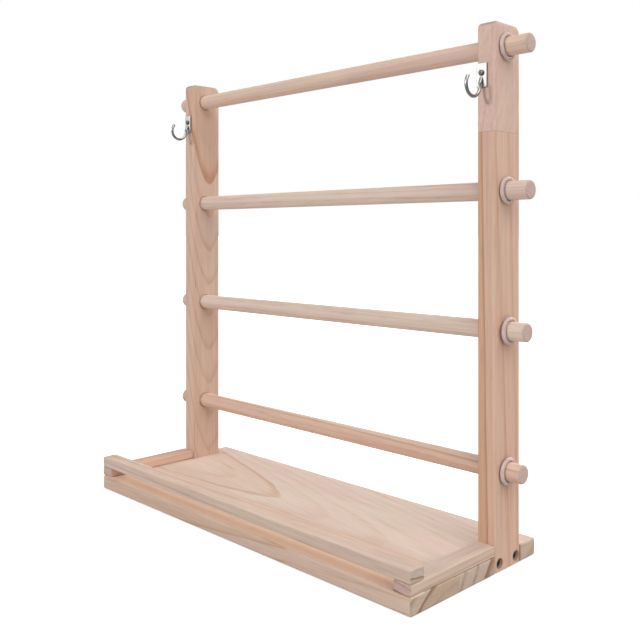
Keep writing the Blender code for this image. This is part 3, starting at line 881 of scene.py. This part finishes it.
class RACK_OT_posts(RackOperator, bpy.types.Operator):
    """Make the two drilled posts"""
    bl_idname = "rack.posts"
    bl_label = "Posts"

    def execute(self, context):
        for side in SIDES:
            make_post(side, context.scene.rack_timber)
        return {"FINISHED"}


class RACK_OT_rods(RackOperator, bpy.types.Operator):
    """Make the four dowels"""
    bl_idname = "rack.rods"
    bl_label = "Dowels"

    def execute(self, context):
        for number in RODS:
            make_rod(number, context.scene.rack_timber)
        return {"FINISHED"}


class RACK_OT_rings(RackOperator, bpy.types.Operator):
    """Make the rubber rings that hold the dowels"""
    bl_idname = "rack.rings"
    bl_label = "Rubber rings"

    def execute(self, context):
        fittings = context.scene.rack_fittings
        material = rubber(fittings)
        for side in SIDES:
            for number in RODS:
                make_ring(side, number, fittings, material)
        return {"FINISHED"}


class RACK_OT_hooks(RackOperator, bpy.types.Operator):
    """Make the two nickel hooks"""
    bl_idname = "rack.hooks"
    bl_label = "Hooks"

    def execute(self, context):
        fittings = context.scene.rack_fittings
        material = plated("bright_nickel", fittings.nickel, fittings.nickel_roughness, NICKEL_MARKS)
        for side in SIDES:
            make_hook(side, fittings, material)
        return {"FINISHED"}


class RACK_OT_screws(RackOperator, bpy.types.Operator):
    """Make the screws of the hooks and of the posts' feet"""
    bl_idname = "rack.screws"
    bl_label = "Screws"

    def execute(self, context):
        material = plated("zinc_screw", context.scene.rack_fittings.zinc, ZINC_ROUGHNESS, ZINC_MARKS)
        for side, sign in SIDES.items():
            make_screw(f"hook_screw_{side}", (0, -1, 0), HOOK_HEAD, HOOK_SHANK, material)
            for which in ("front", "rear"):
                make_screw(f"foot_screw_{side}_{which}", (sign, 0, 0), FOOT_HEAD, FOOT_SHANK, material)
        return {"FINISHED"}


# name, strength setting, azimuth from the front towards the right, elevation and width in degrees
LAMPS = (
    ("key_light", "key", -18, 18, 8),
    ("fill_light", "fill", 74, 38, 50),
    ("top_light", "top", 170, 68, 90),
    ("rear_light", "rear", 176, 24, 24),
)
PANEL_WAY = (-0.70, -0.69, 0.15)     # towards the bright panel that the metal mirrors
PANEL_LIGHT, OVERHEAD_LIGHT = 1.8, 0.45
FLOOR_THROWN, FLOOR_MIRRORED = 0.64, 0.26    # shares of the floor's colour away from the camera
FLOOR_GLOW, FLOOR_REACH = 0.45, 60.0


def add_sun(name, strength, azimuth, elevation, angle):
    """A soft light from a compass direction."""
    light = bpy.data.lights.new(name, "SUN")
    light.energy = strength
    light.angle = math.radians(angle)
    lamp = bpy.data.objects.new(name, light)
    a, e = math.radians(azimuth), math.radians(elevation)
    towards = Vector((math.sin(a) * math.cos(e), -math.cos(a) * math.cos(e), math.sin(e)))
    lamp.rotation_euler = towards.to_track_quat("Z", "Y").to_euler()
    lamp.location = towards * 2.0
    bpy.context.scene.collection.objects.link(lamp)


def floor_material(colour):
    """A white floor that throws less light back than it shows to the camera."""
    material, net, shader = new_material("studio_floor")
    path = net.add("LightPath").outputs
    seen = path["Is Camera Ray"]
    dim, dark = ((*(c * share for c in colour), 1.0) for share in (FLOOR_THROWN, FLOOR_MIRRORED))
    thrown = net.mix(path["Is Glossy Ray"], dim, dark)
    net.feed(shader["Base Color"], net.mix(seen, thrown, (*colour, 1.0)))
    shader["Roughness"].default_value = 0.9
    shader["Specular IOR Level"].default_value = 0.0
    shader["Emission Color"].default_value = (1.0, 1.0, 1.0, 1.0)
    net.feed(shader["Emission Strength"], net.math("MULTIPLY", seen, FLOOR_GLOW))
    return material


def make_floor(studio):
    work = bmesh.new()
    bmesh.ops.create_grid(work, x_segments=1, y_segments=1, size=FLOOR_REACH)
    floor = loose_object(work, "studio_floor")
    work.free()
    floor.data.materials.append(floor_material(studio.floor))


def make_sky(studio):
    """White to the camera, dim for even light, and with a panel and a bright ceiling in mirrors."""
    world = bpy.data.worlds.new("studio_sky")
    world.use_nodes = True
    net = Net(world.node_tree)
    sky = world.node_tree.nodes["Background"]
    sky.inputs["Color"].default_value = (1.0, 1.0, 1.0, 1.0)
    path = net.add("LightPath").outputs
    outward = net.add("TexCoord").outputs["Generated"]
    up = net.add("SeparateXYZ", {0: outward}).outputs[2]
    panel = net.add("VectorMath", {0: outward, 1: PANEL_WAY}, operation="DOT_PRODUCT")
    mirrored = net.math("ADD", net.between(up, 0.45, 0.80, 0.03, OVERHEAD_LIGHT),
                        net.between(panel.outputs["Value"], 0.88, 0.97, 0.0, PANEL_LIGHT))
    strength = net.math("MULTIPLY", net.math("SUBTRACT", 1.0, path["Is Glossy Ray"]), studio.sky)
    strength = net.math("MULTIPLY_ADD", path["Is Glossy Ray"], mirrored, strength)
    net.feed(sky.inputs["Strength"], net.math("MAXIMUM", strength, path["Is Camera Ray"]))
    bpy.context.scene.world = world


def make_camera(studio):
    lens = bpy.data.cameras.new("studio_camera")
    lens.lens = studio.lens
    lens.sensor_width = 36.0
    lens.shift_x, lens.shift_y = studio.shift
    lens.clip_start, lens.clip_end = 0.01, 200.0
    camera = bpy.data.objects.new("studio_camera", lens)
    camera.location = studio.camera
    camera.rotation_euler = (math.pi / 2, 0.0, studio.turn)
    bpy.context.scene.collection.objects.link(camera)
    bpy.context.scene.camera = camera


class RACK_OT_stage(RackOperator, bpy.types.Operator):
    """Make the plain floor, the soft studio light and the camera"""
    bl_idname = "rack.stage"
    bl_label = "Studio"

    def execute(self, context):
        scene = context.scene
        studio = scene.rack_studio
        make_floor(studio)
        make_sky(studio)
        for name, strength, azimuth, elevation, angle in LAMPS:
            add_sun(name, getattr(studio, strength), azimuth, elevation, angle)
        make_camera(studio)
        scene.view_settings.view_transform = "Standard"
        return {"FINISHED"}


class RACK_PT_panel(bpy.types.Panel):
    """Lists the settings and the operators of the spool rack"""
    bl_idname = "RACK_PT_panel"
    bl_label = "Spool Rack"
    bl_space_type = "VIEW_3D"
    bl_region_type = "UI"
    bl_category = "Spool Rack"

    def draw(self, context):
        for title, settings, steps in PANEL_SECTIONS:
            box = self.layout.box()
            box.label(text=title)
            group = getattr(context.scene, settings)
            for name in group.__annotations__:
                box.prop(group, name)
            for step in steps:
                box.operator(step.bl_idname)


PANEL_SECTIONS = (
    ("Timber", "rack_timber", (RACK_OT_base, RACK_OT_strips, RACK_OT_posts, RACK_OT_rods)),
    ("Fittings", "rack_fittings", (RACK_OT_rings, RACK_OT_hooks, RACK_OT_screws)),
    ("Studio", "rack_studio", (RACK_OT_stage,)),
)

CLASSES = (RackTimber, RackFittings, RackStudio, RACK_OT_base, RACK_OT_strips, RACK_OT_posts,
           RACK_OT_rods, RACK_OT_rings, RACK_OT_hooks, RACK_OT_screws, RACK_OT_stage, RACK_PT_panel)


def register():
    for cls in CLASSES:
        bpy.utils.register_class(cls)
    bpy.types.Scene.rack_timber = PointerProperty(type=RackTimber)
    bpy.types.Scene.rack_fittings = PointerProperty(type=RackFittings)
    bpy.types.Scene.rack_studio = PointerProperty(type=RackStudio)


def unregister():
    del bpy.types.Scene.rack_studio
    del bpy.types.Scene.rack_fittings
    del bpy.types.Scene.rack_timber
    for cls in reversed(CLASSES):
        bpy.utils.unregister_class(cls)


def main():
    register()
    bpy.ops.rack.base()
    bpy.ops.rack.strips()
    bpy.ops.rack.posts()
    bpy.ops.rack.rods()
    bpy.ops.rack.rings()
    bpy.ops.rack.hooks()
    bpy.ops.rack.screws()
    bpy.ops.rack.stage()


if __name__ == "__main__":
    main()
